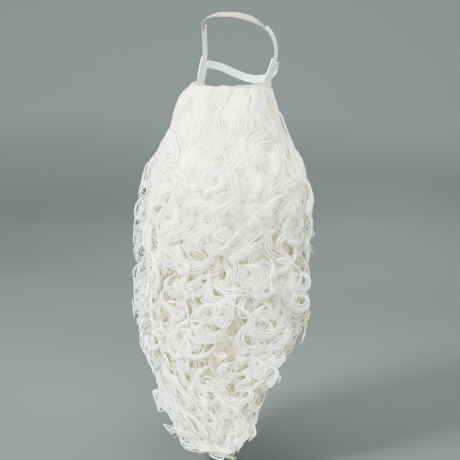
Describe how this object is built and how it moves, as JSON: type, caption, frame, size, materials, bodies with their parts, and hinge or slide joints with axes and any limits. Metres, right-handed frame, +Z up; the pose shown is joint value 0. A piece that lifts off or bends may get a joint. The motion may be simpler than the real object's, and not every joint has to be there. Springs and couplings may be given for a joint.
{
  "type": "fake beard",
  "caption": "Extra-long curly false beard on a cloth backing, with webbing tabs, side straps, a crown band and a nape strap that hold it on a head.",
  "frame": {"origin": "underside of the crown band at its middle, where it sits on the top of the head", "axes": "+Z up along the beard's length, the face looks along -Y, +X to the wearer's left"},
  "size_m": [0.3928, 0.3137, 0.9126],
  "materials": {
    "hair_fibre": "soft sheen, white synthetic fibre",
    "backing_cloth": "matte woven cloth",
    "tab_webbing": "matte ribbed webbing",
    "elastic": "matte woven elastic",
    "sheer_ribbon": "thin cream ribbon"
  },
  "bodies": {
    "root": {"beard_hair": "hair_fibre", "backing": "backing_cloth", "left_tab": "tab_webbing", "right_tab": "tab_webbing", "left_side_strap": "elastic", "right_side_strap": "elastic", "nape_strap": "elastic", "crown_band": "sheer_ribbon"}
  },
  "joints": []
}
